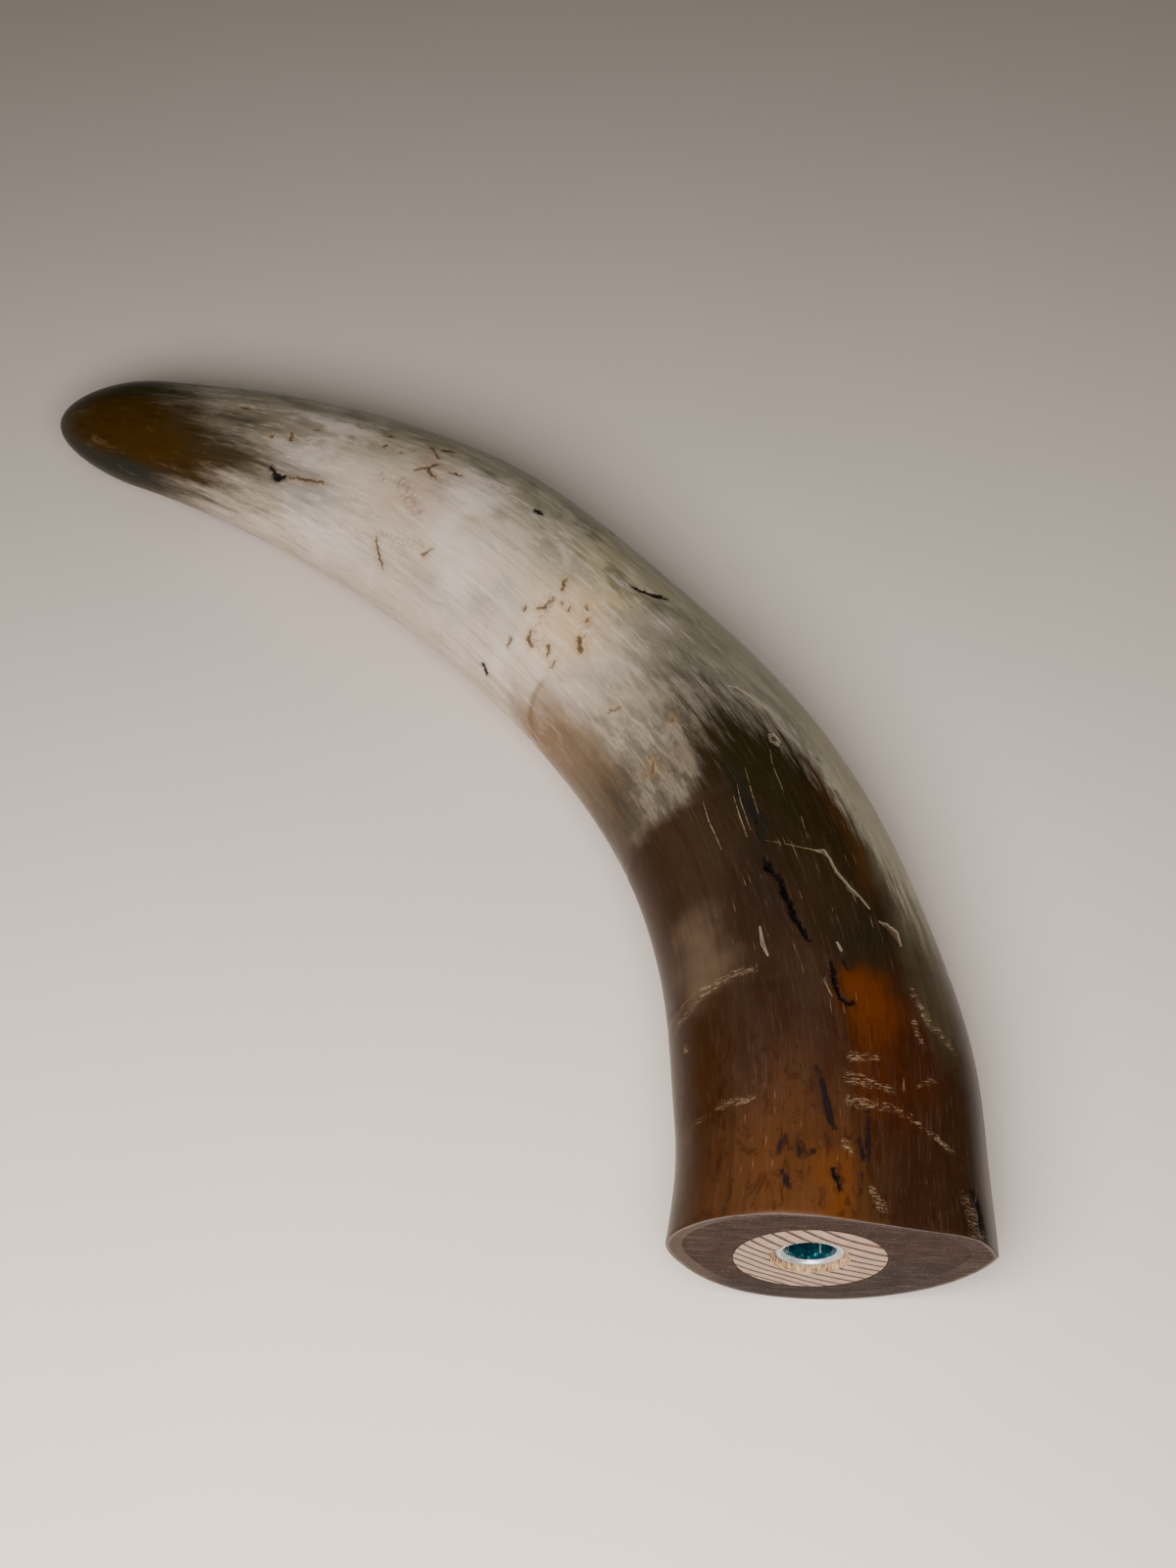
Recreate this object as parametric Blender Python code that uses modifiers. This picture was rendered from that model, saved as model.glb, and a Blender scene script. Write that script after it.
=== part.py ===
"""Buffalo horn, sawn off square and fitted with a threaded insert, lying on its side.

A natural horn sheath is hollow at its thick end.  Here the hollow is cast full of filler, a round
wooden plug is let into the filler, and a metal insert with a hex drive is screwed into the plug.
Metres, +Z up.  Everything is laid out from the middle of the plug on the sawn face: X across the
face, Y into the horn, Z up.  The empty "horn_frame" then moves that layout so that the origin is
under the middle of the whole horn, on the surface that it lies on.
"""
import math

import bmesh
import bpy
import numpy as np

MM = 0.001

# The horn's run, seen from above.  Heading 0 leaves the sawn face squarely, and it turns to the left.
HORN_LENGTH = 293 * MM
HEADING_AT = (0, 0.10, 0.25, 0.40, 0.60, 0.80, 1)
HEADING_DEG = (-4, 4.5, 17.5, 35.5, 49, 68.5, 82)
CUT_SQUARE_UNTIL = 0.10     # the sections swing from the saw cut's plane to the horn's own by here

# Half the width, at fractions of the length from the cut to the tip.
WIDTH_AT = (0, 0.05, 0.12, 0.22, 0.35, 0.50, 0.65, 0.80, 0.90, 1)
HALF_WIDTH_MM = (30, 29, 29, 27, 25.5, 23.5, 22.5, 18, 14, 10.5)

# The section at the cut, from the keel and round over the top: a drop shape with one sharp corner.
CUT_CENTRE_MM = (3.6, 0.4)
CUT_OUTLINE_MM = (
    (33.6, 4.0), (29, 12.1), (20, 15.6), (10, 18.6), (-1, 21.3), (-11, 21), (-20.2, 16.8),
    (-26.3, 7.3), (-22.5, -6.5), (-12, -17.6), (3.5, -20.8), (17, -17), (28, -8), (33.6, 4.0),
)
KEEL_FADES_AT = 0.24        # from here to the tip the section is an ellipse
FLATNESS = (0.72, 0.90)     # the ellipse's height over its width, at the cut and at the tip
TIP_LIFT = 6 * MM           # how far the tip's underside stands off the surface
LIFT_FROM = 0.70
TIP_DOME = 2.1              # length of the rounded tip, in half widths
DOME_FROM = 1 - TIP_DOME * HALF_WIDTH_MM[-1] * MM / HORN_LENGTH

# The hollow, which the filler takes up.  Its walls are thicker at the keel and underneath.
HOLLOW_DEPTH = 95 * MM
HOLLOW_SCALE = 0.865
HOLLOW_SHIFT = (-1.0 * MM, 1.2 * MM)
HOLLOW_TAPER = 0.25

PLUG_RADIUS = 14 * MM
PLUG_DEPTH = 35 * MM
HOLE_RADIUS = 6.75 * MM     # the hole for the insert
HOLE_DEPTH = 18 * MM
MOUTH_RADIUS = 7.9 * MM     # its mouth, where the wood tore out round the insert
PILOT_DEPTH = 24 * MM

INSERT_RADIUS = 6.45 * MM
INSERT_LENGTH = 15 * MM
INSERT_RECESS = 1.1 * MM
HEX_ACROSS_FLATS = 8 * MM
HEX_DEPTH = 6 * MM
THREAD_BORE_RADIUS = 3.4 * MM   # the core of an M8 thread

GAP = 0.3 * MM              # between touching solids
OVERCUT = 2 * MM            # how far a cutter stands out of the sawn face

BODY_RINGS = 28
DOME_RINGS = 9
HOLLOW_RINGS = 12
RING_POINTS = 44
ROUND_POINTS = 48
CENTRELINE_STEPS = 1200
OPEN_FACE = (math.radians(90), 0, 0)    # turns local +Z to face out of the sawn end


def through_points(at, values, t):
    """A smooth curve through a few given values (cubic Hermite, slopes from the neighbours)."""
    at = np.asarray(at, float)
    values = np.asarray(values, float)
    slopes = np.gradient(values, at)
    i = np.clip(np.searchsorted(at, t, side="right") - 1, 0, len(at) - 2)
    h = at[i + 1] - at[i]
    u = (t - at[i]) / h
    start = (2 * u**3 - 3 * u**2 + 1) * values[i] + (u**3 - 2 * u**2 + u) * h * slopes[i]
    end = (3 * u**2 - 2 * u**3) * values[i + 1] + (u**3 - u**2) * h * slopes[i + 1]
    return start + end


def ease(low, high, t):
    """0 below low, 1 above high, smooth between."""
    u = np.clip((t - low) / (high - low), 0, 1)
    return u * u * (3 - 2 * u)


def centreline():
    """Fractions of the length, with the x, y and heading of the horn's middle at each."""
    t = np.linspace(0, 1, CENTRELINE_STEPS + 1)
    heading = np.radians(through_points(HEADING_AT, HEADING_DEG, t))
    step = HORN_LENGTH / CENTRELINE_STEPS
    dx = -np.sin(heading)
    dy = np.cos(heading)
    x = CUT_CENTRE_MM[0] * MM + np.concatenate(([0], np.cumsum((dx[1:] + dx[:-1]) / 2))) * step
    y = np.concatenate(([0], np.cumsum((dy[1:] + dy[:-1]) / 2))) * step
    return t, x, y, heading


CENTRELINE = centreline()


def section(t):
    """The closed section at t as offsets sideways and up from its middle, in metres."""
    outline = np.array(CUT_OUTLINE_MM) - CUT_CENTRE_MM
    outline_angle = np.unwrap(np.arctan2(outline[:, 1], outline[:, 0]))
    outline_radius = np.hypot(outline[:, 0], outline[:, 1]) / HALF_WIDTH_MM[0]
    angle = outline_angle[0] + np.linspace(0, 2 * math.pi, RING_POINTS, endpoint=False)
    cut = through_points(outline_angle, outline_radius, angle)
    flat = FLATNESS[0] + (FLATNESS[1] - FLATNESS[0]) * t
    ellipse = 1 / np.hypot(np.cos(angle), np.sin(angle) / flat)
    keel = 1 - ease(0, KEEL_FADES_AT, t)
    half_width = through_points(WIDTH_AT, HALF_WIDTH_MM, t) * MM
    radius = (cut * keel + ellipse * (1 - keel)) * half_width
    return radius * np.cos(angle), radius * np.sin(angle)


def floor_height():
    """The surface that the horn lies on, as a height in the layout of the sawn face."""
    return CUT_CENTRE_MM[1] * MM + section(0)[1].min()


def ring(t, scale=1.0, shift=(0, 0), inset=0.0):
    """One ring of points round the horn at t, its underside on the surface or lifted at the tip."""
    along, line_x, line_y, line_heading = CENTRELINE
    side, up = section(t)
    middle_z = floor_height() - up.min() + TIP_LIFT * ease(LIFT_FROM, 1, t)
    dome = np.clip((t - DOME_FROM) / (1 - DOME_FROM), 0, 1)
    scale = scale * math.sqrt(max(1 - dome * dome, 0))
    size = np.hypot(side, up)
    shrink = np.maximum(scale - inset / size, 0)
    side = side * shrink + shift[0]
    up = up * shrink + shift[1]
    turn = np.interp(t, along, line_heading) * ease(0, CUT_SQUARE_UNTIL, t)
    x = np.interp(t, along, line_x) + side * math.cos(turn)
    y = np.interp(t, along, line_y) + side * math.sin(turn)
    return np.stack([x, y, middle_z + up], axis=1)


def horn_rings():
    """Rings from the cut to the tip, closer together where the tip rounds off."""
    body = np.linspace(0, DOME_FROM, BODY_RINGS, endpoint=False)
    dome = DOME_FROM + (1 - DOME_FROM) * np.sin(np.linspace(0, math.pi / 2, DOME_RINGS))
    return [ring(t) for t in np.concatenate((body, dome))]


def hollow_rings(inset):
    """Rings of the hollow from the cut inwards, narrowing to a rounded end."""
    rings = []
    for s in 1 - (1 - np.linspace(0, 1, HOLLOW_RINGS)) ** 1.6:
        narrow = (1 - HOLLOW_TAPER * s) * math.sqrt(max(1 - s**6, 0))
        shift = (HOLLOW_SHIFT[0] * narrow, HOLLOW_SHIFT[1] * narrow)
        t = s * (HOLLOW_DEPTH - inset) / HORN_LENGTH
        rings.append(ring(t, HOLLOW_SCALE * narrow, shift, inset))
    return rings


def collection(name):
    made = bpy.data.collections.new(name)
    bpy.context.scene.collection.children.link(made)
    return made


def finish(name, color, roughness, metallic=0.0):
    """A Principled material."""
    material = bpy.data.materials.new(name)
    material.use_nodes = True
    shader = material.node_tree.nodes["Principled BSDF"]
    shader.inputs["Base Color"].default_value = (*color, 1)
    shader.inputs["Roughness"].default_value = roughness
    shader.inputs["Metallic"].default_value = metallic
    return material


def place(obj, home, material=None):
    """Put an object in its collection, under the frame, and smooth its round faces."""
    for other in obj.users_collection:
        other.objects.unlink(obj)
    home.objects.link(obj)
    obj.parent = FRAME
    if material is None:
        obj.hide_render = True
        obj.display_type = "WIRE"
        return obj
    obj.data.materials.clear()
    obj.data.materials.append(material)
    obj.data.shade_smooth()
    obj.data.set_sharp_from_angle(angle=math.radians(40))
    return obj


def loft(name, rings):
    """A closed body through rings of points: a flat cap on the first, the last drawn to a point."""
    bm = bmesh.new()
    loops = [[bm.verts.new(p) for p in points] for points in rings[:-1]]
    pole = bm.verts.new(rings[-1].mean(axis=0))
    for low, high in zip(loops, loops[1:]):
        for i in range(RING_POINTS):
            j = (i + 1) % RING_POINTS
            bm.faces.new((low[i], low[j], high[j], high[i]))
    for i in range(RING_POINTS):
        bm.faces.new((loops[-1][i], loops[-1][(i + 1) % RING_POINTS], pole))
    bm.faces.new(list(reversed(loops[0])))
    bmesh.ops.recalc_face_normals(bm, faces=bm.faces)
    mesh = bpy.data.meshes.new(name)
    bm.to_mesh(mesh)
    bm.free()
    return bpy.data.objects.new(name, mesh)


def turned(name, profile, closed):
    """A profile of (radius, height) points, run down its outer side, turned round local Z."""
    mesh = bpy.data.meshes.new(name)
    edges = [(i, i + 1) for i in range(len(profile) - 1)]
    if closed:
        edges.append((len(profile) - 1, 0))
    mesh.from_pydata([(radius, 0, height) for radius, height in profile], edges, [])
    obj = bpy.data.objects.new(name, mesh)
    screw = obj.modifiers.new("turn", "SCREW")
    screw.axis = "Z"
    screw.steps = screw.render_steps = ROUND_POINTS
    screw.use_merge_vertices = True
    screw.merge_threshold = 0.00001
    screw.use_normal_calculate = True
    obj.rotation_euler = OPEN_FACE
    return obj


def cylinder(name, radius, top, bottom, points=ROUND_POINTS):
    """A cylinder or a prism along the plug's axis; top and bottom are heights out of the sawn face."""
    bpy.ops.mesh.primitive_cylinder_add(
        vertices=points, radius=radius, depth=top - bottom,
        location=(0, -(top + bottom) / 2, 0), rotation=OPEN_FACE)
    obj = bpy.context.object
    obj.name = name
    obj.data.name = name
    return obj


def cut(obj, cutter):
    boolean = obj.modifiers.new(cutter.name, "BOOLEAN")
    boolean.operation = "DIFFERENCE"
    boolean.solver = "EXACT"
    boolean.object = cutter


def build_horn(material):
    """The grown sheath: solid at the tip, hollow behind the cut."""
    horn = place(loft("horn", horn_rings()), PARTS, material)
    rings = hollow_rings(inset=0.0)
    mouth = rings[0] - np.array([0, OVERCUT, 0])
    cut(horn, place(loft("hollow_cutter", [mouth] + rings), CUTTERS))
    return horn


def build_filler(material):
    """Filler cast into the hollow and sanded flush, bored for the plug."""
    filler = place(loft("core_filler", hollow_rings(inset=GAP)), PARTS, material)
    bore = cylinder("plug_bore_cutter", PLUG_RADIUS + GAP, OVERCUT, -(PLUG_DEPTH + GAP))
    cut(filler, place(bore, CUTTERS))
    return filler


def build_plug(material):
    """The wooden plug, drilled for the insert; the mouth of the hole is torn a little wider."""
    plug = place(cylinder("dowel_plug", PLUG_RADIUS, 0, -PLUG_DEPTH), PARTS, material)
    pilot = THREAD_BORE_RADIUS
    profile = (
        (0, OVERCUT), (MOUTH_RADIUS, OVERCUT), (MOUTH_RADIUS, 0), (HOLE_RADIUS, -INSERT_RECESS),
        (HOLE_RADIUS, -HOLE_DEPTH), (pilot, -HOLE_DEPTH), (pilot, -PILOT_DEPTH),
        (0, -PILOT_DEPTH - pilot / 2),
    )
    cut(plug, place(turned("insert_hole_cutter", profile, closed=False), CUTTERS))
    return plug


def build_insert(material):
    """The metal insert: a sleeve with a hex drive at its mouth and an M8 thread core behind it."""
    top = -INSERT_RECESS
    bottom = top - INSERT_LENGTH
    chamfer = 0.4 * MM
    profile = (
        (THREAD_BORE_RADIUS, top), (INSERT_RADIUS - chamfer, top), (INSERT_RADIUS, top - chamfer),
        (INSERT_RADIUS, bottom + chamfer), (INSERT_RADIUS - chamfer, bottom),
        (THREAD_BORE_RADIUS, bottom),
    )
    insert = place(turned("threaded_insert", profile, closed=True), PARTS, material)
    drive = cylinder("hex_cutter", HEX_ACROSS_FLATS / math.sqrt(3), OVERCUT, top - HEX_DEPTH, points=6)
    cut(insert, place(drive, CUTTERS))
    return insert


def layout_offset():
    """Where the layout's origin goes, for the whole horn to stand centred over the origin."""
    points = np.concatenate(horn_rings())
    low = points.min(axis=0)
    high = points.max(axis=0)
    return (-(low[0] + high[0]) / 2, -(low[1] + high[1]) / 2, -low[2])


for old in list(bpy.data.objects):
    bpy.data.objects.remove(old, do_unlink=True)

PARTS = collection("buffalo_horn")
CUTTERS = collection("cutters")
FRAME = bpy.data.objects.new("horn_frame", None)
FRAME.location = layout_offset()
PARTS.objects.link(FRAME)

build_horn(finish("horn_keratin", (0.30, 0.22, 0.16), 0.25))
build_filler(finish("filler_brown", (0.21, 0.13, 0.09), 0.60))
build_plug(finish("plug_wood", (0.62, 0.45, 0.36), 0.65))
build_insert(finish("insert_zinc", (0.72, 0.76, 0.78), 0.25, metallic=1.0))
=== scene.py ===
# %% [markdown]
# # A buffalo horn with a threaded insert
# The object is a scraped and polished horn, sawn off square. Its hollow is cast full of brown
# filler, a wooden plug is let into the filler, and a metal insert is screwed into the plug. The
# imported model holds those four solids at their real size. This lesson gives each of them the
# surface that the real one has: first the shape in fine meshes, then the finishes, then the light.

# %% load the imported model
import math

import bpy
import numpy as np
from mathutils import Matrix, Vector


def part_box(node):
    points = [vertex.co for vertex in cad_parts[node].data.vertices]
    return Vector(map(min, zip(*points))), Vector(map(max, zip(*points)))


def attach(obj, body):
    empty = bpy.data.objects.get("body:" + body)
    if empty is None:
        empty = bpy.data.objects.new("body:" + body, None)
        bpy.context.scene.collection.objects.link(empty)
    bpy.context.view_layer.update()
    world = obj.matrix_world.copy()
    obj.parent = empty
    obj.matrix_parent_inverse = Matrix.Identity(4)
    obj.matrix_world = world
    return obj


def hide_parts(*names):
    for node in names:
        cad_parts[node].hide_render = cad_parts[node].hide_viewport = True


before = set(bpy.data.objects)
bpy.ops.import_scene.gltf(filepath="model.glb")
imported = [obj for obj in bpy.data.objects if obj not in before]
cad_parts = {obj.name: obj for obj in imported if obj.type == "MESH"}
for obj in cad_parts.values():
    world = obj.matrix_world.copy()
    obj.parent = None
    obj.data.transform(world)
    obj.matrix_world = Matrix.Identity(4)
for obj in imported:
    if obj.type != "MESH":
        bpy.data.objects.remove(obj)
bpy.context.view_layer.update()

print("packed nodes:", sorted(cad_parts))

# %% [markdown]
# ## One place to measure from
# Everything is laid out in millimetres from the middle of the plug on the sawn face: x across the
# face, y into the horn, z up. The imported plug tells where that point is, so one function turns a
# layout point into scene metres, and no piece is ever placed by eye.

# %% the layout's origin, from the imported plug
MM = 0.001
plug_low, plug_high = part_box("dowel_plug")
PLUG_RADIUS = (plug_high[0] - plug_low[0]) / 2 / MM
PLUG_DEPTH = (plug_high[1] - plug_low[1]) / MM
ORIGIN = np.array([(plug_low[0] + plug_high[0]) / 2, plug_low[1], (plug_low[2] + plug_high[2]) / 2])


def to_scene(points):
    """Layout millimetres to scene metres."""
    return np.asarray(points, float) * MM + ORIGIN


print("plug radius %.2f mm, depth %.1f mm" % (PLUG_RADIUS, PLUG_DEPTH))

# %% [markdown]
# ## The horn's run and sections
# A horn is a cone bent by growing faster on one side. It could be sculpted, or made from a curve
# with a taper, but the cut end has a keel and a drop-shaped outline that no round bevel gives. So
# it is a loft: a centreline seen from above, whose heading turns a little at every step, and a
# section that starts as the drop shape and fades to an ellipse. These are the solid's own
# dimensions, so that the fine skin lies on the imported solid.

# %% the horn's dimensions
HORN_LENGTH = 293
HEADING_AT = (0, 0.10, 0.25, 0.40, 0.60, 0.80, 1)
HEADING_DEG = (-4, 4.5, 17.5, 35.5, 49, 68.5, 82)
CUT_SQUARE_UNTIL = 0.10
WIDTH_AT = (0, 0.05, 0.12, 0.22, 0.35, 0.50, 0.65, 0.80, 0.90, 1)
HALF_WIDTH = (30, 29, 29, 27, 25.5, 23.5, 22.5, 18, 14, 10.5)
CUT_CENTRE = (3.6, 0.4)
CUT_OUTLINE = (
    (33.6, 4.0), (29, 12.1), (20, 15.6), (10, 18.6), (-1, 21.3), (-11, 21), (-20.2, 16.8),
    (-26.3, 7.3), (-22.5, -6.5), (-12, -17.6), (3.5, -20.8), (17, -17), (28, -8), (33.6, 4.0),
)
KEEL_FADES_AT = 0.24
FLATNESS = (0.72, 0.90)
TIP_LIFT = 6
LIFT_FROM = 0.70
DOME_FROM = 1 - 2.1 * HALF_WIDTH[-1] / HORN_LENGTH
HOLLOW_SCALE = 0.865
HOLLOW_SHIFT = (-1.0, 1.2)


def through_points(at, values, t):
    """A smooth curve through a few given values (cubic Hermite, slopes from the neighbours)."""
    at = np.asarray(at, float)
    values = np.asarray(values, float)
    slopes = np.gradient(values, at)
    i = np.clip(np.searchsorted(at, t, side="right") - 1, 0, len(at) - 2)
    h = at[i + 1] - at[i]
    u = (t - at[i]) / h
    start = (2 * u**3 - 3 * u**2 + 1) * values[i] + (u**3 - 2 * u**2 + u) * h * slopes[i]
    end = (3 * u**2 - 2 * u**3) * values[i + 1] + (u**3 - u**2) * h * slopes[i + 1]
    return start + end


def ease(low, high, t):
    """0 below low, 1 above high, smooth between."""
    u = np.clip((t - low) / (high - low), 0, 1)
    return u * u * (3 - 2 * u)


# %% the centreline, seen from above
STEPS = 1200
line_t = np.linspace(0, 1, STEPS + 1)
line_heading = np.radians(through_points(HEADING_AT, HEADING_DEG, line_t))
line_dx = -np.sin(line_heading)
line_dy = np.cos(line_heading)
HALF_STEP = HORN_LENGTH / STEPS / 2
line_x = CUT_CENTRE[0] + HALF_STEP * np.concatenate(([0], np.cumsum(line_dx[1:] + line_dx[:-1])))
line_y = HALF_STEP * np.concatenate(([0], np.cumsum(line_dy[1:] + line_dy[:-1])))
print("the tip is %.0f mm to the left and %.0f mm in" % (-line_x[-1], line_y[-1]))

# %% [markdown]
# The points of a ring aren't spread evenly: they are closer together over the top, where the
# marks are seen, and wider apart underneath. The first point always sits on the keel, so the
# sharp corner stays a clean edge.

# %% sections round the horn
AROUND = 250
TOP_DENSITY = 0.35
outline = np.array(CUT_OUTLINE) - CUT_CENTRE
outline_angle = np.unwrap(np.arctan2(outline[:, 1], outline[:, 0]))
outline_radius = np.hypot(outline[:, 0], outline[:, 1]) / HALF_WIDTH[0]
even = outline_angle[0] + np.linspace(0, 2 * math.pi, AROUND, endpoint=False)
ANGLE = even + TOP_DENSITY * (np.cos(even) - math.cos(outline_angle[0]))
cut_section = through_points(outline_angle, outline_radius, ANGLE)


def section(t):
    """The section at t as offsets sideways and up from its middle."""
    flat = FLATNESS[0] + (FLATNESS[1] - FLATNESS[0]) * t
    ellipse = 1 / np.hypot(np.cos(ANGLE), np.sin(ANGLE) / flat)
    keel = 1 - ease(0, KEEL_FADES_AT, t)
    radius = (cut_section * keel + ellipse * (1 - keel)) * through_points(WIDTH_AT, HALF_WIDTH, t)
    return radius * np.cos(ANGLE), radius * np.sin(ANGLE)


FLOOR = CUT_CENTRE[1] + section(0)[1].min()


def ring(t, scale=1.0, shift=(0, 0), inset=0.0):
    """One ring of layout points round the horn at t. inset may differ from point to point."""
    side, up = section(t)
    middle = FLOOR - up.min() + TIP_LIFT * ease(LIFT_FROM, 1, t)
    dome = np.clip((t - DOME_FROM) / (1 - DOME_FROM), 0, 1)
    shrink = np.maximum(scale * math.sqrt(max(1 - dome * dome, 0)) - inset / np.hypot(side, up), 0)
    side = side * shrink + shift[0]
    up = up * shrink + shift[1]
    turn = np.interp(t, line_t, line_heading) * ease(0, CUT_SQUARE_UNTIL, t)
    x = np.interp(t, line_t, line_x) + side * math.cos(turn)
    y = np.interp(t, line_t, line_y) + side * math.sin(turn)
    return np.stack([x, y, middle + up], axis=1)


print("widest %.1f mm at the cut" % np.ptp(ring(0)[:, 0]))

# %% [markdown]
# ## A map of the skin
# Marks on a horn are easiest to place on its unrolled skin: millimetres along from the cut, and
# degrees round from the top ridge, positive towards the inside of the bend. One table of marks
# then serves twice: the mesh is pressed in where they are, and the finish colours the same places.
# Every mark is a chain of strokes through points (along, round, half width in mm).

# %% the marks on the skin
SKIN_MM_PER_DEGREE = 0.42

CRACKS = (
    ((55, 2, 0.15), (57, 4.5, 0.4), (59, 5, 0.35), (61, 7.5, 0.45), (63.5, 6.6, 0.5), (66, 8.4, 0.5),
     (68.5, 7.2, 0.4), (70.6, 8.6, 0.5), (71.8, 10.8, 0.4), (73, 12, 0.75), (74.6, 11.4, 0.2)),
    ((0.4, -67, 0.45), (5, -66, 0.35), (9, -64, 0.1)),
    ((41.5, -14, 0.15), (41.3, -10, 0.25), (43, -7, 0.3), (46, -5.5, 0.35), (50, -6.5, 0.15)),
    ((5.5, 1, 0.3), (7, 2, 0.25), (9, 4.5, 0.4)),
    ((140.5, -40, 0.2), (142, -35, 0.5), (144, -31, 0.45), (146, -27, 0.3)),
    ((163, -62, 0.15), (164, -67, 0.35), (168, -81, 0.35)),
    ((157.6, 79, 0.45), (159, 76, 0.3)),
    ((229.6, 41, 0.3), (231.5, 44, 1.2), (232.6, 42, 0.7), (234, 38, 0.2)),
    ((173, -24.5, 0.45), (174, -24, 0.35)),
)
PITS = (
    ((140.6, 30, 0.4), (142, 28, 0.6), (143.5, 25, 0.5)),
    ((147.5, 8.5, 0.3), (148.2, 7, 0.15)),
    ((145, 14.5, 0.25), (145.5, 12, 0.15)),
    ((150, 17, 0.3), (150, 15, 0.2)),
    ((152, 17, 0.2), (152.6, 16, 0.1)),
    ((154.3, 18, 0.25), (154.4, 26, 0.35), (155.6, 28.5, 0.25)),
    ((154.4, 10, 0.2), (155.8, 6, 0.35), (156.2, 2, 0.15)),
    ((146, 44.5, 0.25), (147.4, 40.5, 0.3)),
    ((150.6, 47.5, 0.35), (152.4, 45, 0.4), (153, 41, 0.15)),
    ((143.4, 48, 0.25), (143.6, 44, 0.15)),
    ((155.4, 56, 0.3), (155.8, 52, 0.2)),
    ((157.5, 35, 0.3), (158, 32, 0.15)),
    ((196.4, -2, 0.25), (198.6, -4, 0.3), (199.6, -7, 0.3), (198.4, -14, 0.25)),
    ((198.6, -13, 0.2), (201.4, 0, 0.25)),
    ((199.6, -19, 0.2), (203, -27, 0.15)),
    ((192.5, -14, 0.35), (194.6, -11, 0.25)),
    ((199.4, -33, 0.5), (200.8, -30, 0.7)),
    ((211.6, -12, 0.3), (211.8, -10, 0.2)),
    ((212.6, -24, 0.3), (212.8, -22, 0.2)),
    ((233, 4, 0.15), (232.4, 12, 0.25)),
    ((237, 12, 0.3), (237, 14, 0.4)),
    ((246.5, -11.5, 0.45), (247.5, -11, 0.35)),
    ((220, 35, 0.35), (224, 37.5, 0.25), (229.5, 41, 0.2)),
    ((195, 66, 0.15), (197.6, 61, 0.35), (200.2, 52, 0.15)),
    ((185, 40, 0.12), (186.5, 46.5, 0.28)),
    ((106, 43.5, 0.15), (108.2, 40.5, 0.2)),
    ((124, 36, 0.15), (125, 42, 0.15)),
    ((113.5, 18.5, 0.25), (113.8, 17, 0.15)),
    ((227.6, -6, 0.2), (228.6, -5, 0.2)),
    ((207, -11, 0.2), (207.6, -9, 0.15)),
)
SMUDGES = (
    ((194, 26, 1.6), (202, 12, 1.9)),
    ((206, 16, 0.8), (208, 11, 0.6)),
    ((188, 44, 0.4), (202, 50, 0.5)),
    ((141, 28, 1.4), (146, 12, 1.2)),
    ((150, 46, 1.5), (155, 20, 1.2)),
    ((176, -20, 1.0), (186, -22, 0.6)),
)
INCLUSIONS = (
    ((11.5, -15, 0.35), (14, -15.5, 0.6), (17, -16, 0.3), (21, -16.5, 0.35)),
    ((12, -12, 0.4), (15.5, -10, 0.25)),
    ((4.5, -10, 0.2), (9, -11, 0.15)),
    ((17, 2.5, 0.2), (20.5, 6, 0.8), (23, 7, 0.5), (29, 10, 0.1)),
    ((12, 15, 0.5), (13.6, 11, 0.25)),
    ((11, 20, 0.3), (14, 19.5, 0.4)),
    ((5, 24, 0.35), (8, 27, 0.45)),
    ((12, 28, 0.5), (15.4, 26, 0.3)),
    ((50.5, -13, 0.3), (48.5, -14.5, 0.3)),
    ((80, 10, 0.1), (84, 8.6, 0.25), (88, 7.5, 0.1)),
)
CHIPS = (
    ((53.6, -46.5, 0.12), (56, -45, 0.9), (57.6, -42, 0.35), (58.2, -38.5, 0.12)),
    ((61, -35, 0.08), (63.6, -31.5, 0.16), (65.2, -27.5, 0.5), (66.8, -26.4, 0.2), (69, -23.4, 0.28),
     (72, -22.6, 0.16), (73.6, -21, 0.4), (74.2, -16.5, 0.10)),
    ((53.6, 24.6, 0.08), (56.5, 25.8, 0.30), (60.4, 25, 0.08)),
    ((52.4, -13, 0.22), (54, -12, 0.12)),
    ((104, -38, 0.08), (108, -34, 0.12), (114, -28, 0.16), (115, -24, 0.08)),
    ((98.6, -26, 0.22), (99.4, -28.6, 0.22), (101, -28, 0.22), (101.2, -25.4, 0.22),
     (99.8, -23.8, 0.22), (98.6, -26, 0.22)),
)
SCUFFS = (
    ((16, -57, 0.25), (19, -49, 0.3), (21, -40, 0.35), (22.4, -30, 0.5), (22.6, -6, 1.1)),
    ((25.5, -30, 0.5), (27, -6, 1.1)),
    ((31, -22, 0.5), (31, -9, 0.9)),
    ((12.6, -6, 0.5), (14.4, -2, 0.9)),
    ((3, -23, 1.1), (6, -17, 0.9)),
    ((0, -66, 1.8), (8, -60, 0.5)),
    ((23.4, 38, 0.4), (23, 52, 0.9)),
    ((21.4, 58, 0.2), (21.2, 68, 0.3)),
    ((34, -62, 0.4), (40, -50, 0.8), (45, -46, 0.5)),
    ((34, -48, 0.4), (38.6, -44, 0.6)),
    ((28, -52, 0.3), (27, -44, 0.4)),
    ((39, 68, 0.5), (40.5, 70, 0.3)),
)
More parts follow.
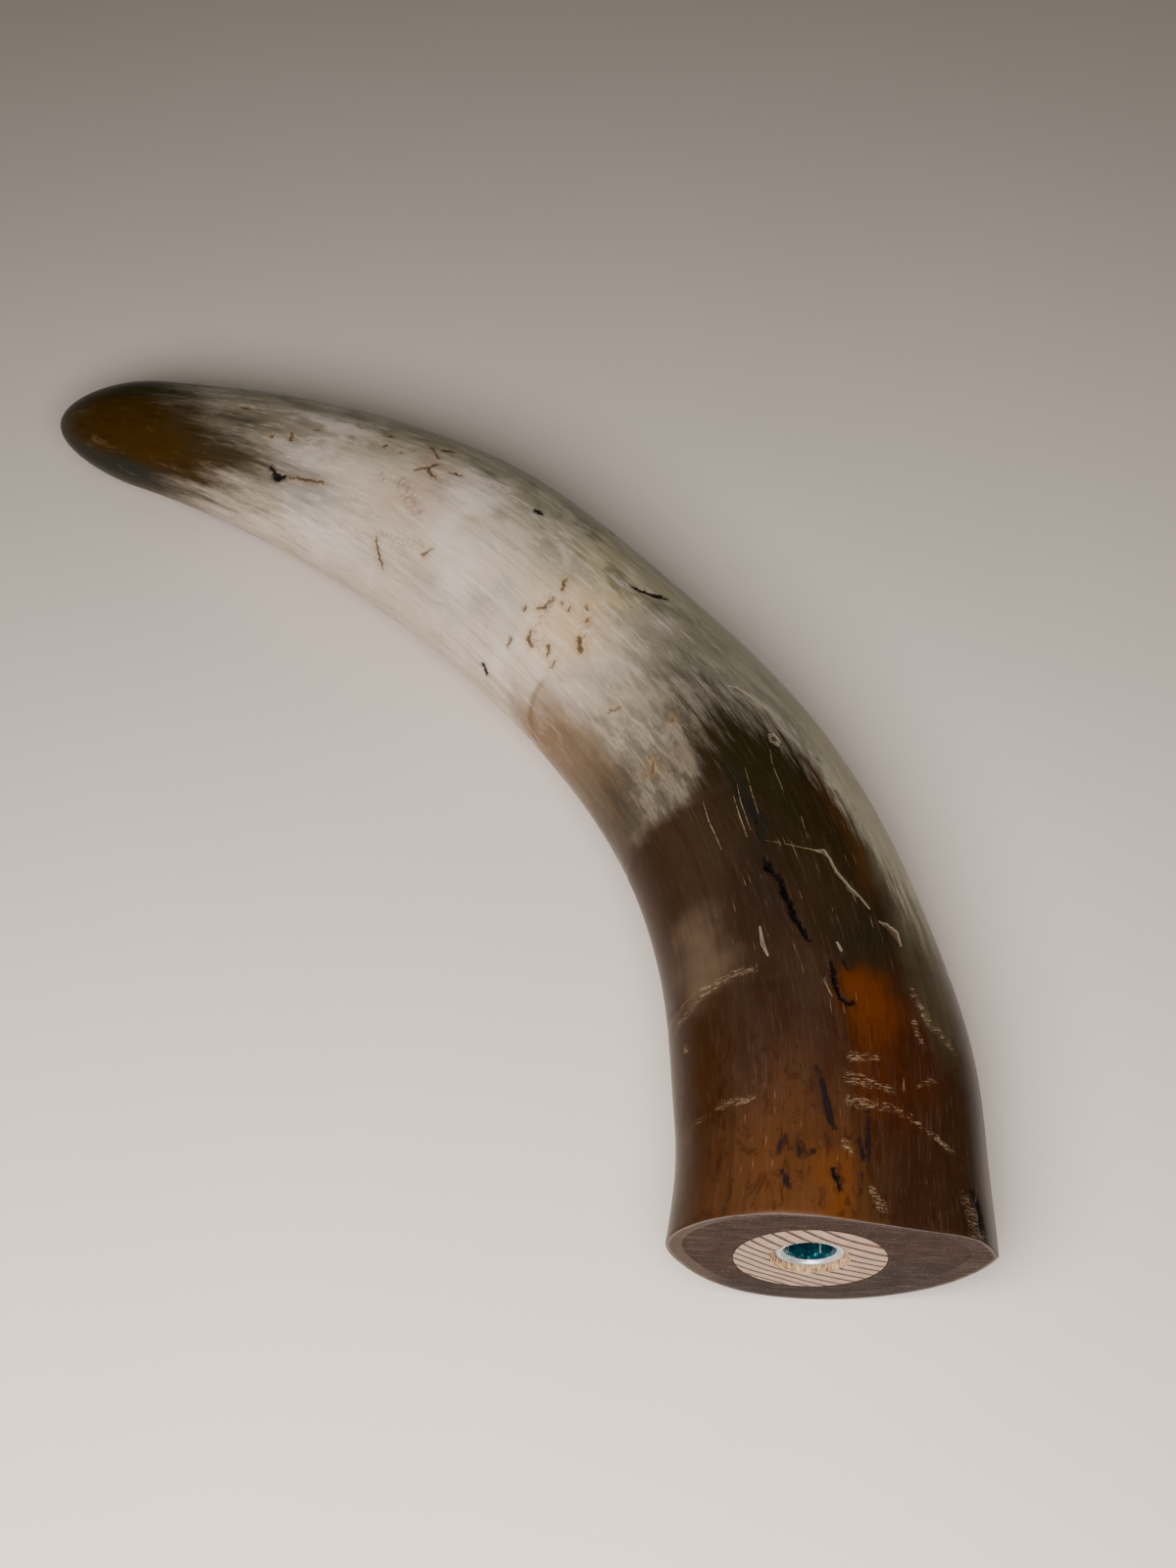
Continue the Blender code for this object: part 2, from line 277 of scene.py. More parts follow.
HAIRLINES = (
    ((74.2, -16.5, 0.12), (75.4, -9, 0.06), (78.8, 7.5, 0.05)),
    ((43, -3, 0.1), (46.6, 0, 0.06)),
    ((43.6, -2, 0.04), (47, -1, 0.04)),
    ((81, 16, 0.05), (86, 15, 0.14), (91, 13, 0.05)),
    ((82, 13, 0.04), (89, 11, 0.1), (93, 8, 0.04)),
    ((85, 5, 0.04), (90, 3, 0.1), (96, -1, 0.04)),
    ((80.5, 31, 0.04), (88, 31, 0.12), (93, 29, 0.04)),
    ((88, -14, 0.04), (94, -16, 0.1), (98, -20, 0.04)),
    ((77, -15, 0.04), (82, -17, 0.06)),
)
SCRAPE = (
    ((51, 31, 0.3), (51.8, 40, 0.9), (51, 52, 0.9), (49.6, 60, 0.8), (47.6, 69, 1.1), (46.6, 75, 0.8)),
    ((52.2, 38, 0.3), (51.6, 60, 0.4), (50, 74, 0.5)),
)


def stroke_distance(along, around, table):
    """Millimetres from each skin point to the nearest stroke's edge; negative inside it."""
    nearest = np.full(np.broadcast(along, around).shape, 1e3)
    for stroke in table:
        for (a0, r0, w0), (a1, r1, w1) in zip(stroke, stroke[1:]):
            da = a1 - a0
            dr = (r1 - r0) * SKIN_MM_PER_DEGREE
            pa = along - a0
            pr = (around - r0) * SKIN_MM_PER_DEGREE
            h = np.clip((pa * da + pr * dr) / (da * da + dr * dr), 0, 1)
            gap = np.hypot(pa - da * h, pr - dr * h) - (w0 + (w1 - w0) * h)
            nearest = np.minimum(nearest, gap)
    return nearest


ALL_MARKS = CRACKS + PITS + INCLUSIONS + CHIPS + SCUFFS + HAIRLINES + SCRAPE + SMUDGES
print("marks:", len(ALL_MARKS), "with", sum(len(stroke) - 1 for stroke in ALL_MARKS), "strokes")

# %% [markdown]
# ## Scraped by hand
# A horn is scraped and sanded lengthwise, which leaves long shallow flats, and its growth leaves
# faint rings. Noise modifiers would roughen it evenly, like a stone. A few long waves that run with
# the grain, from a seeded generator, give the right hand-worked surface. Everything is pressed
# inwards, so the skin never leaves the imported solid's box. Each table of marks is pressed in by its
# own depth, which grows from a distance outside the stroke's edge to one inside it.

# %% how deep the skin is pressed in, in mm
FLATS = 14
GROWTH_RINGS = ((50, 0.10), (95, 0.10), (141, 0.07), (189, 0.05), (233, 0.05))
PRESSED = (
    (0.40, 0.15, -0.35, CHIPS),
    (0.45, 0.25, -0.45, CRACKS),
    (0.25, 0.25, -0.40, PITS),
    (0.06, 0.30, -0.60, SCUFFS + SCRAPE),
)


def scraped(along, around, radius):
    """Long shallow flats that run with the grain."""
    generator = np.random.default_rng(11)
    across_x = radius * np.sin(np.radians(around))
    across_y = radius * np.cos(np.radians(around))
    depth = np.zeros_like(along)
    for _ in range(FLATS):
        turn = generator.uniform(0, 2 * math.pi)
        length = generator.uniform(11, 34)
        run = generator.uniform(-1, 1) / generator.uniform(50, 130)
        phase = (across_x * math.cos(turn) + across_y * math.sin(turn)) / length + along * run
        depth += np.sin(2 * math.pi * phase + generator.uniform(0, 2 * math.pi)) * length / 34
    return 0.05 * (depth / 2 + 2)


def relief(along, around, radius):
    """All of the skin's relief together."""
    depth = scraped(along, around, radius)
    sway = 1.5 * np.sin(np.radians(around * 2 + 40)) + 0.8 * np.sin(np.radians(around * 5))
    for place, deep in GROWTH_RINGS:
        depth += deep * np.exp(-(((along + sway - place) / 0.9) ** 2))
    for deep, outside, inside, table in PRESSED:
        depth += deep * ease(outside, inside, stroke_distance(along, around, table))
    return depth


# %% [markdown]
# ## The horn's mesh
# The horn is one closed skin: from the bottom of the hollow out to its mouth, across the sawn
# edge, and along the outside to the tip. Lofting it as one run of rings keeps it watertight, with
# a pole at each end. Each ring also carries a "grain" attribute: the point's place on the horn if
# it were straightened. Noise that reads it flows with the grain round the bend, as the fibres do.

# %% helpers that make the mesh objects
def add_piece(name, points, faces, materials, kinds=None, smooth_under=None):
    """A mesh object from scene points. Edges that turn more than smooth_under degrees stay sharp."""
    mesh = bpy.data.meshes.new(name)
    mesh.from_pydata(np.asarray(points).tolist(), [], faces)
    for material in materials:
        mesh.materials.append(material)
    if kinds:
        mesh.polygons.foreach_set("material_index", kinds)
    if smooth_under:
        mesh.shade_smooth()
        mesh.set_sharp_from_angle(angle=math.radians(smooth_under))
    piece = bpy.data.objects.new(name, mesh)
    bpy.context.scene.collection.objects.link(piece)
    return piece


def skin_rings(name, rings, first_pole, last_pole, bands, materials, smooth_under=40):
    """Closed mesh through rings. bands gives (first ring, material index) from each ring on."""
    count = len(rings[0])
    points = np.concatenate([[first_pole], *rings, [last_pole]])
    faces = []
    kinds = []
    for r in range(-1, len(rings)):
        kind = [index for start, index in bands if r >= start][-1]
        low = 1 + r * count
        high = low + count
        for i in range(count):
            j = (i + 1) % count
            if r < 0:
                faces.append((0, high + j, high + i))
            elif r == len(rings) - 1:
                faces.append((low + i, low + j, high))
            else:
                faces.append((low + i, low + j, high + j, high + i))
            kinds.append(kind)
    return add_piece(name, to_scene(points), faces, materials, kinds, smooth_under)


def write_attribute(piece, name, values):
    """Stores three numbers on each point of the mesh, for the finish to read."""
    attribute = piece.data.attributes.new(name, "FLOAT_VECTOR", "POINT")
    attribute.data.foreach_set("vector", np.asarray(values, np.float32).ravel())


# %% [markdown]
# ## Mixing finishes
# A finish is a small network of texture nodes. Written out node by node it would be unreadable, so
# a helper adds a node, feeds it, and hands back its result. What is the same all over the surface,
# such as the gloss or the index of refraction, is set straight on the shader.

# %% the helper for node networks
class Recipe:
    """Adds nodes to a tree. Most of its methods hand back the socket that holds their result."""

    def __init__(self, tree):
        self.tree = tree

    def feed(self, socket, value):
        if isinstance(value, bpy.types.NodeSocket):
            self.tree.links.new(value, socket)
        elif socket.type == "RGBA":
            socket.default_value = (*value, 1)
        else:
            socket.default_value = value

    def fill(self, node, **inputs):
        """Feeds a node's inputs by their names, with _ for a space."""
        for key, value in inputs.items():
            self.feed(node.inputs[key.replace("_", " ")], value)

    def add(self, kind, settings=None, **inputs):
        node = self.tree.nodes.new("ShaderNode" + kind)
        for key, value in (settings or {}).items():
            setattr(node, key, value)
        self.fill(node, **inputs)
        return node

    def math(self, operation, *values):
        node = self.add("Math", {"operation": operation})
        for socket, value in zip(node.inputs, values):
            self.feed(socket, value)
        return node.outputs[0]

    def times(self, *values):
        """All the values multiplied together."""
        product = values[0]
        for value in values[1:]:
            product = self.math("MULTIPLY", product, value)
        return product

    def vector(self, operation, a, b=None, scale=None):
        node = self.add("VectorMath", {"operation": operation})
        self.feed(node.inputs[0], a)
        if b is not None:
            self.feed(node.inputs[1], b)
        if scale is not None:
            self.feed(node.inputs["Scale"], scale)
        plain = operation in ("DOT_PRODUCT", "LENGTH", "DISTANCE")
        return node.outputs["Value" if plain else "Vector"]

    def axes(self, vector):
        """A vector's X, Y and Z."""
        return self.add("SeparateXYZ", Vector=vector).outputs

    def attribute(self, name):
        """What write_attribute stored under this name."""
        return self.add("Attribute", {"attribute_name": name}).outputs["Vector"]

    def object_mm(self):
        """The object's own coordinates, in mm."""
        return self.vector("SCALE", self.add("TexCoord").outputs["Object"], scale=1 / MM)

    def noise(self, vector, scale, detail=3.0, roughness=0.5, distortion=0.0, stretch=None):
        """Cloudy noise; a stretch below 1 draws it out along that axis."""
        if stretch is not None:
            vector = self.vector("MULTIPLY", vector, stretch)
        node = self.add("TexNoise", Vector=vector, Scale=scale, Detail=detail, Roughness=roughness,
                        Distortion=distortion)
        return node.outputs["Fac"]

    def wobble(self, vector, scale, detail, roughness):
        """Three noises at once, each about zero, to push a point to and fro."""
        node = self.add("TexNoise", Vector=vector, Scale=scale, Detail=detail, Roughness=roughness)
        return self.vector("SUBTRACT", node.outputs["Color"], (0.5, 0.5, 0.5))

    def fade(self, value, low, high):
        """0 at low and 1 at high, smooth; low may be the larger one."""
        node = self.add("MapRange", {"interpolation_type": "SMOOTHSTEP"})
        self.fill(node, Value=value, From_Min=low, From_Max=high)
        return node.outputs[0]

    def mix(self, factor, a, b, mode="MIX"):
        node = self.add("Mix", {"data_type": "RGBA", "blend_type": mode})
        for index, value in ((0, factor), (6, a), (7, b)):
            self.feed(node.inputs[index], value)
        return node.outputs[2]

    def glaze(self, under, shade, amount, strength):
        """Lays a shade over the colour under it, where amount is 1, as strongly as strength says."""
        return self.mix(self.math("MULTIPLY", amount, strength), under, shade)

    def curve(self, value, points, low, high):
        """A smooth curve through given (value, result) points, over low to high."""
        results = [result for _, result in points]
        least = min(results)
        span = max(results) - least
        node = self.add("FloatCurve")
        spots = node.mapping.curves[0].points
        while len(spots) < len(points):
            spots.new(0.5, 0.5)
        for spot, (place, result) in zip(spots, points):
            spot.location = ((place - low) / (high - low), (result - least) / span)
        node.mapping.update()
        share = self.math("DIVIDE", self.math("SUBTRACT", value, low), high - low)
        self.feed(node.inputs["Value"], share)
        return self.math("MULTIPLY_ADD", node.outputs[0], span, least)

    def bump(self, height, distance, strength):
        return self.add("Bump", Height=height, Distance=distance * MM, Strength=strength).outputs[0]


def new_finish(name, **shader_values):
    """A material with its recipe and shader; the given values are constants on the shader."""
    material = bpy.data.materials.new(name)
    material.use_nodes = True
    shader = material.node_tree.nodes["Principled BSDF"]
    recipe = Recipe(material.node_tree)
    recipe.fill(shader, **shader_values)
    return material, recipe, shader


def tone(red, green, blue):
    """A colour as it reads on a colour card, 0 to 255, in the linear values that shaders use."""
    values = np.array([red, green, blue]) / 255
    return tuple(np.where(values < 0.04045, values / 12.92, ((values + 0.055) / 1.055) ** 2.4).tolist())


# %% [markdown]
# ## Strokes for the finish
# The marks are measured again for the colour. Cracks, pits, chips and hairlines have to be crisp
# even where the mesh is coarser than they are, so nodes measure them: each table becomes one node
# group that takes the skin coordinate and gives the distance to its nearest stroke. Scuffs,
# smudges and inclusions are soft, so their distance is worked out once on the mesh's points and
# stored there, which renders much faster.

# %% a node group for a table of strokes
def stroke_group(name, table):
    tree = bpy.data.node_groups.new(name, "ShaderNodeTree")
    tree.interface.new_socket("Skin", in_out="INPUT", socket_type="NodeSocketVector")
    tree.interface.new_socket("Distance", in_out="OUTPUT", socket_type="NodeSocketFloat")
    skin = tree.nodes.new("NodeGroupInput").outputs[0]
    recipe = Recipe(tree)
    nearest = None
    for stroke in table:
        for (a0, r0, w0), (a1, r1, w1) in zip(stroke, stroke[1:]):
            start = np.array([a0, r0 * SKIN_MM_PER_DEGREE, 0])
            run = np.array([a1, r1 * SKIN_MM_PER_DEGREE, 0]) - start
            offset = recipe.vector("SUBTRACT", skin, tuple(start))
            share = recipe.vector("DOT_PRODUCT", offset, tuple(run / run.dot(run)))
            share = recipe.add("Clamp", Value=share).outputs[0]
            gap = recipe.vector("DISTANCE", offset, recipe.vector("SCALE", tuple(run), scale=share))
            gap = recipe.math("SUBTRACT", gap, recipe.math("MULTIPLY_ADD", share, w1 - w0, w0))
            nearest = gap if nearest is None else recipe.math("MINIMUM", nearest, gap)
    tree.links.new(nearest, tree.nodes.new("NodeGroupOutput").inputs[0])
    return tree


def strokes(recipe, place, name, table):
    """The distance in mm from the place on the skin to the nearest stroke of a table."""
    return recipe.add("Group", {"node_tree": stroke_group(name, table)}, Skin=place).outputs[0]


# %% [markdown]
# ## The colours of the horn
# Horn is not painted: light goes a little way in, and the pigment lies in long fibres. So the
# colour is built in layers, as a painter in glazes would: a dark root, a cream middle and a dark
# tip whose borders are dragged along the grain, then soft patches, then streaks, and last the
# marks. Patches are (along, round, half length, half width in degrees, colour, strength).

# %% the soft patches of colour
ROOT_PATCHES = (
    (98, -10, 40, 34, tone(30, 26, 9), 1.0),
    (20, -48, 40, 34, tone(38, 20, 9), 1.0),
    (46, 24, 40, 34, tone(46, 30, 21), 0.9),
    (20, -84, 70, 22, tone(46, 36, 25), 0.9),
    (72, -62, 36, 18, tone(86, 79, 61), 0.95),
    (30, 64, 60, 20, tone(42, 21, 4), 0.95),
    (66, 80, 60, 14, tone(44, 24, 8), 0.9),
    (8, 84, 44, 14, tone(66, 48, 36), 0.9),
    (2, 18, 26, 42, tone(72, 42, 20), 1.0),
    (3, 0, 16, 13, tone(80, 42, 12), 0.8),
    (20, 22, 18, 16, tone(60, 33, 13), 0.8),
    (26, 3, 14, 10, tone(40, 18, 8), 0.6),
    (34, -28, 18, 24, tone(52, 20, 4), 0.9),
    (30, -17, 15, 11, tone(58, 25, 5), 0.6),
    (41, -24, 9, 20, tone(74, 33, 3), 0.9),
    (56, -28, 9, 30, tone(30, 24, 13), 1.0),
    (60, 56, 14, 17, tone(80, 65, 52), 0.9),
    (74, 18, 22, 26, tone(31, 20, 12), 0.8),
    (84, 44, 20, 28, tone(48, 35, 24), 0.7),
    (42, 24, 12, 10, tone(34, 16, 6), 0.6),
    (80, -40, 22, 7, tone(64, 40, 14), 0.7),
    (3, -68, 12, 8, tone(18, 9, 7), 0.8),
    (86, 8, 12, 4, tone(12, 23, 22), 0.5),
)
CREAM_PATCHES = (
    (122, -24, 34, 44, tone(80, 76, 60), 0.75),
    (112, 76, 34, 26, tone(106, 82, 56), 0.9),
    (136, 82, 14, 20, tone(112, 84, 54), 0.9),
    (152, -18, 12, 50, tone(166, 150, 116), 0.7),
    (149, 26, 13, 30, tone(198, 166, 126), 0.7),
    # The outer band is partly painted light: its colour is raised to make up for the dimmer light on that
    # side.
    (170, -66, 120, 34, tone(148, 143, 120), 1.0),
    (203, -34, 50, 12, tone(106, 103, 82), 0.4),
    (172, -18, 20, 10, tone(122, 116, 101), 0.5),
    (197, 20, 13, 26, tone(176, 146, 128), 0.6),
    (182, 62, 20, 12, tone(150, 140, 128), 0.5),
    (164, 42, 7, 16, tone(142, 138, 130), 0.5),
    (197, -10, 10, 12, tone(126, 106, 84), 0.45),
    (226, 44, 18, 20, tone(122, 117, 108), 0.7),
    (240, 4, 22, 26, tone(92, 86, 71), 0.8),
    (231, -28, 12, 12, tone(76, 72, 54), 0.5),
)
TIP_PATCHES = (
    (268, 34, 30, 60, tone(56, 35, 3), 1.0),
    (250, 10, 14, 40, tone(52, 47, 33), 0.8),
    (272, -30, 26, 28, tone(46, 40, 20), 0.9),
    (294, 20, 11, 360, tone(66, 59, 44), 0.8),
    (276, 84, 26, 20, tone(30, 34, 30), 0.9),
    (258, -66, 50, 30, tone(58, 54, 35), 0.9),
)


def lay_patches(recipe, place, colour, patches):
    """Lays soft oval patches of colour over a colour."""
    for along, around, long, wide, shade, strength in patches:
        offset = recipe.vector("SUBTRACT", place, (along, around * SKIN_MM_PER_DEGREE, 0))
        size = (1 / long, 1 / (wide * SKIN_MM_PER_DEGREE), 0)
        reach = recipe.vector("LENGTH", recipe.vector("MULTIPLY", offset, size))
        colour = recipe.glaze(colour, shade, recipe.fade(reach, 1.35, 0.15), strength)
    return colour


print("patches:", len(ROOT_PATCHES), len(CREAM_PATCHES), len(TIP_PATCHES))

# %% where the dark root ends and where the dark tip begins, round the horn
ROOT_ENDS = (
    (-180, 88), (-140, 76), (-100, 62), (-80, 60), (-66, 64), (-55, 68), (-45, 85), (-36, 98), (-28, 106),
    (-12, 113), (0, 114), (8, 112), (15, 108), (22, 101), (32, 96), (80, 95), (130, 92), (180, 88),
)
TIP_BEGINS = (
    (-180, 256), (-90, 252), (-50, 258), (-30, 258), (-12, 254), (0, 250), (15, 244), (30, 238), (45, 236),
    (58, 238), (70, 242), (90, 252), (140, 254), (180, 256),
)

# %% what the layers of the horn share
class Skin:
    """Places on the skin, and the noises that more than one layer reads."""

    def __init__(self, recipe):
        with_grain = (1, 1, 0.075)
        self.grain = recipe.attribute("grain")
        x, y, self.along = recipe.axes(self.grain)
        self.around = recipe.times(recipe.math("ARCTAN2", x, y), 180 / math.pi)
        across = recipe.times(self.around, SKIN_MM_PER_DEGREE)
        self.place = recipe.add("CombineXYZ", X=self.along, Y=across).outputs[0]
        wander = recipe.vector("MULTIPLY", recipe.wobble(self.grain, 0.11, 2, 0.5), (20, 9, 0))
        self.soft_place = recipe.vector("ADD", self.place, wander)
        self.tremble = recipe.wobble(self.grain, 0.75, 3, 0.7)
        tremble = recipe.vector("MULTIPLY", self.tremble, (2.4, 2.4, 0))
        self.fine_place = recipe.vector("ADD", self.place, tremble)
        self.broad = recipe.noise(self.grain, 0.20, 3, 0.6, stretch=with_grain)
        self.streak = recipe.noise(self.grain, 0.85, 4, 0.7, stretch=with_grain)
        self.hair = recipe.noise(self.grain, 3.6, 3, 0.6, stretch=(1, 1, 0.035))
        self.wisp = recipe.noise(self.grain, 0.42, 4, 0.7, 0.3, stretch=(1, 1, 0.25))


# %% the dark root, with its amber windows
def root_layer(recipe, skin):
    root = recipe.mix(recipe.fade(skin.broad, 0.35, 0.65), tone(36, 23, 12), tone(46, 31, 20))
    root = lay_patches(recipe, skin.soft_place, root, ROOT_PATCHES)
    veins = recipe.noise(skin.grain, 0.40, 3, 0.6, 1.2, stretch=(1, 1, 0.5))
    veins = recipe.times(recipe.fade(veins, 0.52, 0.62), recipe.fade(skin.along, 48, 34))
    root = recipe.glaze(root, tone(36, 13, 5), veins, 0.5)
    bands = recipe.noise(skin.grain, 0.42, 3, 0.5, stretch=(1, 1, 0.02))
    root = recipe.glaze(root, tone(30, 14, 3), recipe.fade(bands, 0.52, 0.64), 0.25)
    root = recipe.glaze(root, tone(24, 13, 5), recipe.fade(skin.streak, 0.50, 0.68), 0.15)
    return recipe.glaze(root, tone(112, 98, 78), recipe.fade(skin.hair, 0.54, 0.68), 0.10)


# %% the cream middle
def cream_layer(recipe, skin):
    cream = recipe.mix(recipe.fade(skin.around, -50, 30), tone(146, 140, 122), tone(190, 174, 157))
    cloud = recipe.noise(skin.grain, 0.05, 3, 0.5)
    cream = recipe.mix(recipe.fade(cloud, 0.46, 0.62), cream, tone(202, 189, 178))
    cream = lay_patches(recipe, skin.soft_place, cream, CREAM_PATCHES)
    cool = recipe.times(recipe.fade(skin.streak, 0.50, 0.66), recipe.fade(skin.broad, 0.42, 0.58))
    cream = recipe.glaze(cream, tone(100, 98, 86), cool, 0.34)
    paler = recipe.times(recipe.fade(skin.streak, 0.46, 0.36), recipe.fade(skin.along, 100, 150))
    cream = recipe.glaze(cream, tone(214, 200, 184), paler, 0.35)
    smoke = recipe.noise(skin.grain, 0.17, 4, 0.68, 0.4, stretch=(1, 1, 0.4))
    smoky = recipe.math("MAXIMUM", recipe.fade(skin.around, 22, -22), recipe.fade(skin.along, 150, 112))
    smoky = recipe.times(smoky, recipe.fade(skin.around, -66, -46))
    smoke = recipe.times(recipe.fade(smoke, 0.48, 0.62), smoky)
    cream = recipe.glaze(cream, tone(78, 78, 62), smoke, 0.6)
    cream = recipe.glaze(cream, tone(132, 120, 102), recipe.fade(skin.wisp, 0.56, 0.70), 0.35)
    mottle = recipe.times(recipe.fade(skin.wisp, 0.44, 0.58), recipe.fade(skin.along, 146, 112))
    cream = recipe.glaze(cream, tone(92, 88, 80), mottle, 0.55)
    pale = recipe.times(recipe.fade(skin.wisp, 0.46, 0.34), recipe.fade(skin.along, 112, 140))
    cream = recipe.glaze(cream, tone(204, 196, 188), pale, 0.35)
    silver = recipe.times(recipe.fade(skin.hair, 0.49, 0.60), recipe.fade(skin.along, 150, 118))
    return recipe.glaze(cream, tone(152, 148, 139), silver, 0.35)


def cream_sides(recipe, skin, cream):
    """A tan inner side that ends in a brown line, a paler outer side that is partly painted light, and a
    darker start.
    """
    arc = recipe.times(recipe.math("SUBTRACT", skin.around, 62), 0.07)
    arc = recipe.math("ADD", recipe.times(arc, arc), recipe.math("SUBTRACT", skin.along, 143))
    inner = recipe.times(recipe.fade(skin.around, 48, 62), recipe.fade(skin.along, 94, 124))
    tan = recipe.times(recipe.fade(arc, 1.0, -1.0), inner)
    cream = recipe.glaze(cream, tone(122, 98, 72), tan, 0.5)
    # The paler outer side is partly painted light: its colour is raised to make up for the dimmer light
    # there.
    cream = recipe.glaze(cream, tone(156, 150, 126), recipe.fade(skin.around, -42, -60), 0.6)
    start = recipe.math("MULTIPLY_ADD", recipe.math("SUBTRACT", skin.broad, 0.5), 30, skin.along)
    start = recipe.times(recipe.fade(start, 152, 98), recipe.fade(skin.around, -34, 14))
    cream = recipe.mix(start, cream, (0.27, 0.255, 0.225), "MULTIPLY")
    line = recipe.times(recipe.fade(recipe.math("ABSOLUTE", arc), 1.3, 0.1), inner)
    return recipe.glaze(cream, tone(84, 58, 34), line, 0.45)


# %% the dark tip
def tip_layer(recipe, skin):
    tip = recipe.mix(recipe.fade(skin.broad, 0.38, 0.62), tone(46, 35, 14), tone(60, 52, 34))
    tip = lay_patches(recipe, skin.soft_place, tip, TIP_PATCHES)
    tip = recipe.glaze(tip, tone(24, 18, 8), recipe.fade(skin.streak, 0.50, 0.66), 0.35)
    return recipe.glaze(tip, tone(120, 104, 76), recipe.fade(skin.wisp, 0.58, 0.72), 0.25)


# %% the borders, dragged along the grain
def join_layers(recipe, skin, root, cream, tip):
    drag = recipe.math("ADD", skin.streak, recipe.times(skin.hair, 0.6))
    drag = recipe.math("SUBTRACT", drag, 0.8)
    loose = recipe.fade(skin.around, 32, 8)
    past = recipe.math("MULTIPLY_ADD", drag, recipe.math("MULTIPLY_ADD", loose, 36, 2.5), skin.along)
    waver = recipe.math("SUBTRACT", 0.5, skin.wisp)
    past = recipe.math("MULTIPLY_ADD", waver, recipe.math("MULTIPLY_ADD", loose, 18, 4), past)
    past = recipe.math("SUBTRACT", past, recipe.curve(skin.around, ROOT_ENDS, -180, 180))
    share = recipe.math("DIVIDE", past, recipe.math("MULTIPLY_ADD", loose, 10, 2.8))
    colour = recipe.mix(recipe.fade(share, -1, 1), root, cream)
    past = recipe.math("MULTIPLY_ADD", recipe.math("SUBTRACT", skin.broad, 0.5), 46, skin.along)
    past = recipe.math("MULTIPLY_ADD", drag, 15, past)
    past = recipe.math("SUBTRACT", past, recipe.curve(skin.around, TIP_BEGINS, -180, 180))
    colour = recipe.mix(recipe.fade(past, -20, 16), colour, tip)
    hairs = recipe.times(recipe.fade(skin.hair, 0.45, 0.72), 0.18)
    return recipe.mix(hairs, colour, (0.25, 0.22, 0.18), "MULTIPLY")


# %% the scratches
def scratches(recipe, skin, scuffs):
    """How scratched the skin is: hairlines, scuffed patches, and a sprinkle of fine nicks."""
    hairlines = recipe.fade(strokes(recipe, skin.place, "hairlines", HAIRLINES), 0.05, -0.06)
    broken = recipe.fade(recipe.noise(skin.grain, 0.9, 2, 0.7), 0.30, 0.50)
    hairlines = recipe.times(hairlines, broken)
    across_grain = recipe.noise(skin.grain, 1.0, 3, 0.72, 1.0, stretch=(0.5, 0.5, 5.0))
    scuffed = recipe.times(recipe.fade(scuffs, 0.4, -0.4), recipe.fade(across_grain, 0.53, 0.60))
    with_grain = recipe.noise(skin.grain, 1.0, 1, 0.5, stretch=(3.0, 3.0, 0.16))
    where = recipe.noise(skin.grain, 0.07, 1, 0.5)
    nicks = recipe.times(recipe.fade(with_grain, 0.70, 0.78), recipe.fade(where, 0.50, 0.62))
    total = recipe.math("MAXIMUM", hairlines, scuffed)
    return recipe.math("MAXIMUM", total, recipe.times(nicks, 0.6))


# %% the marks
def lay_marks(recipe, skin, colour):
    """The colour with its marks, and how scratched it is."""
    shift = recipe.times(recipe.axes(skin.tremble)["X"], 2.2)
    soft = recipe.axes(recipe.attribute("soft_marks"))
    scuffs, smudges, inclusions = (recipe.math("ADD", distance, shift) for distance in soft)
    inclusions = recipe.math("MULTIPLY_ADD", recipe.math("SUBTRACT", skin.streak, 0.5), 3.0, inclusions)
    colour = recipe.glaze(colour, tone(9, 10, 15), recipe.fade(inclusions, 0.55, -0.35), 0.82)
    pits = strokes(recipe, skin.fine_place, "pits", PITS)
    colour = recipe.glaze(colour, tone(150, 112, 62), recipe.fade(pits, 2.2, 0.0), 0.22)
    colour = recipe.glaze(colour, tone(58, 42, 18), recipe.fade(pits, 0.42, -0.3), 0.88)
    patchy = recipe.noise(skin.grain, 1.0, 3, 0.7, stretch=(0.35, 1.6, 1.3))
    smudges = recipe.times(recipe.fade(smudges, 1.6, -1.0), recipe.fade(patchy, 0.46, 0.60))
    colour = recipe.glaze(colour, tone(118, 92, 74), smudges, 0.5)
    cracks = strokes(recipe, skin.fine_place, "cracks", CRACKS)
    colour = recipe.glaze(colour, tone(30, 12, 6), recipe.fade(cracks, 1.2, 0.0), 0.3)
    colour = recipe.glaze(colour, tone(5, 4, 6), recipe.fade(cracks, 0.42, -0.10), 0.95)
    chips = strokes(recipe, skin.place, "chips", CHIPS)
    colour = recipe.glaze(colour, tone(98, 84, 66), recipe.fade(chips, 0.10, -0.1), 0.35)
    chip_rim = recipe.fade(recipe.math("ABSOLUTE", chips), 0.22, 0.02)
    colour = recipe.glaze(colour, tone(180, 164, 142), chip_rim, 0.3)
    scratched = scratches(recipe, skin, scuffs)
    return recipe.glaze(colour, tone(150, 130, 102), scratched, 0.55), scratched


# %% the horn's polished skin
def horn_finish():
    material, recipe, shader = new_finish("horn_keratin", IOR=1.45, Specular_IOR_Level=0.16)
    skin = Skin(recipe)
    cream = cream_sides(recipe, skin, cream_layer(recipe, skin))
    colour = join_layers(recipe, skin, root_layer(recipe, skin), cream, tip_layer(recipe, skin))
    colour, scratched = lay_marks(recipe, skin, colour)
    rough = recipe.math("MULTIPLY_ADD", skin.hair, 0.22, 0.24)
    rough = recipe.math("MULTIPLY_ADD", scratched, 0.25, rough)
    recipe.fill(shader, Base_Color=colour, Roughness=rough, Normal=recipe.bump(skin.hair, 0.03, 0.5))
    return material
